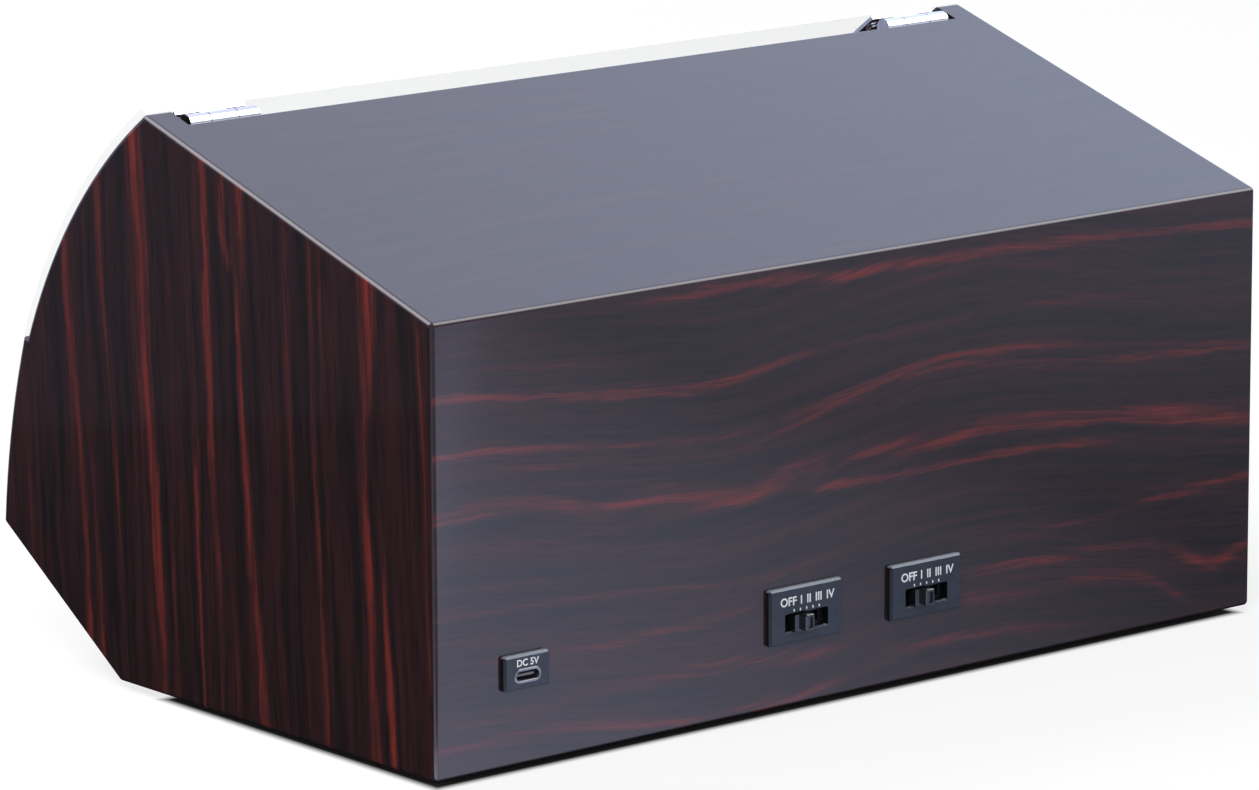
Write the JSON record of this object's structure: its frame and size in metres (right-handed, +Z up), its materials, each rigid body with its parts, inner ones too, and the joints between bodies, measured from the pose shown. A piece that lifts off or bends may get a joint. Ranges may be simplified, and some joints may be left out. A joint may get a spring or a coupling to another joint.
{
  "type": "watch winder box",
  "caption": "Glossy dark-veneered desk box with a clear curved hinged lid that keeps self-winding watches turning on geared rotors, with a power inlet and slide switches on its back",
  "frame": {"origin": "middle of the underside of the whole box, on the surface that its feet stand on", "axes": "+X to the right for somebody in front of the box, +Y to its back, +Z up"},
  "size_m": [0.33, 0.2219, 0.1822],
  "materials": {
    "veneer": "high-gloss lacquer over dark striped veneer",
    "base_board": "black painted board",
    "raw_wood": "plain softwood",
    "deck_cover": "board wrapped in black velour",
    "rubber": "matt rubber",
    "clear_acrylic": "clear polished acrylic sheet",
    "chrome": "polished chrome",
    "steel": "plain steel",
    "plate_plastic": "satin dark blue-grey plastic",
    "black_plastic": "satin black plastic",
    "circuit_board": "green solder mask",
    "white_plastic": "natural nylon",
    "lead_cover": "flexible lead cover",
    "rotor_plastic": "flocked moulding",
    "gear_plastic": "natural acetal",
    "bronze": "sintered bronze",
    "chassis_plastic": "black moulding",
    "gearbox_metal": "die-cast",
    "cuff_cover": "padded leatherette"
  },
  "bodies": {
    "case": {"back_panel": "veneer", "board_chips": "black_plastic", "board_connectors": "white_plastic", "bottom_panel": "base_board", "bottom_screws": "steel", "chassis_left": "chassis_plastic", "chassis_right": "chassis_plastic", "chassis_screws": "steel", "chin_panel": "veneer", "control_board": "circuit_board", "corner_blocks": "raw_wood", "deck_cleats": "raw_wood", "deck_panel": "deck_cover", "front_panel": "veneer", "gearbox_left": "gearbox_metal", "gearbox_right": "gearbox_metal", "hinge_fixed_leaves": "chrome", "hinge_pins": "chrome", "inlet_board": "circuit_board", "inlet_lead": "lead_cover", "inlet_plate": "plate_plastic", "inlet_shell": "steel", "inlet_tongue": "black_plastic", "left_cheek": "veneer", "motor_can_left": "steel", "motor_can_right": "steel", "motor_lead_left": "lead_cover", "motor_lead_right": "lead_cover", "right_cheek": "veneer", "rubber_feet": "rubber", "shaft_bush_left": "bronze", "shaft_bush_right": "bronze", "switch_body_left": "black_plastic", "switch_body_right": "black_plastic", "switch_plate_left": "plate_plastic", "switch_plate_right": "plate_plastic", "top_panel": "veneer"},
    "lid": {"lid": "clear_acrylic", "lid_knob": "chrome", "lid_knob_screw": "steel", "hinge_moving_leaves": "chrome"},
    "rotor_left": {"rotor_left": "rotor_plastic", "driven_gear_left": "gear_plastic", "rotor_shaft_left": "steel", "shaft_clip_left": "steel"},
    "pinion_left": {"pinion_left": "gear_plastic", "output_shaft_left": "steel"},
    "switch_knob_left": {"switch_knob_left": "black_plastic"},
    "cuff_left_inner": {"cuff_left_inner": "cuff_cover"},
    "cuff_left_outer": {"cuff_left_outer": "cuff_cover"},
    "rotor_right": {"rotor_right": "rotor_plastic", "driven_gear_right": "gear_plastic", "rotor_shaft_right": "steel", "shaft_clip_right": "steel"},
    "pinion_right": {"pinion_right": "gear_plastic", "output_shaft_right": "steel"},
    "switch_knob_right": {"switch_knob_right": "black_plastic"},
    "cuff_right_inner": {"cuff_right_inner": "cuff_cover"},
    "cuff_right_outer": {"cuff_right_outer": "cuff_cover"}
  },
  "joints": [
    {"name": "lid_hinge", "type": "hinge", "parent": "case", "child": "lid", "pos_m": [0, -0.02735, 0.17673], "axis": [-1, 0, 0], "range_deg": [0, 130]},
    {"name": "rotor_left_spin", "type": "hinge", "parent": "case", "child": "rotor_left", "pos_m": [-0.0775, -0.0194, 0.08752], "axis": [0, -0.7071, 0.7071], "continuous": true},
    {"name": "pinion_left_spin", "type": "hinge", "parent": "case", "child": "pinion_left", "pos_m": [-0.0487, 0.02239, 0.07627], "axis": [0, -0.7071, 0.7071], "continuous": true},
    {"name": "switch_left_slide", "type": "slide", "parent": "case", "child": "switch_knob_left", "axis": [-1, 0, 0], "range_m": [-0.0025, 0.0075]},
    {"name": "cuff_left_inner_pull", "type": "slide", "parent": "rotor_left", "child": "cuff_left_inner", "axis": [0, -0.7071, 0.7071], "range_m": [0, 0.03]},
    {"name": "cuff_left_outer_pull", "type": "slide", "parent": "rotor_left", "child": "cuff_left_outer", "axis": [0, -0.7071, 0.7071], "range_m": [0, 0.03]},
    {"name": "rotor_right_spin", "type": "hinge", "parent": "case", "child": "rotor_right", "pos_m": [0.0775, -0.0194, 0.08752], "axis": [0, -0.7071, 0.7071], "continuous": true},
    {"name": "pinion_right_spin", "type": "hinge", "parent": "case", "child": "pinion_right", "pos_m": [0.0487, 0.02239, 0.07627], "axis": [0, -0.7071, 0.7071], "continuous": true},
    {"name": "switch_right_slide", "type": "slide", "parent": "case", "child": "switch_knob_right", "axis": [-1, 0, 0], "range_m": [-0.0025, 0.0075]},
    {"name": "cuff_right_inner_pull", "type": "slide", "parent": "rotor_right", "child": "cuff_right_inner", "axis": [0, -0.7071, 0.7071], "range_m": [0, 0.03]},
    {"name": "cuff_right_outer_pull", "type": "slide", "parent": "rotor_right", "child": "cuff_right_outer", "axis": [0, -0.7071, 0.7071], "range_m": [0, 0.03]}
  ],
  "couplings": [
    {"joint": "pinion_left_spin", "follows": "rotor_left_spin", "ratio": -3},
    {"joint": "pinion_right_spin", "follows": "rotor_right_spin", "ratio": -3}
  ]
}
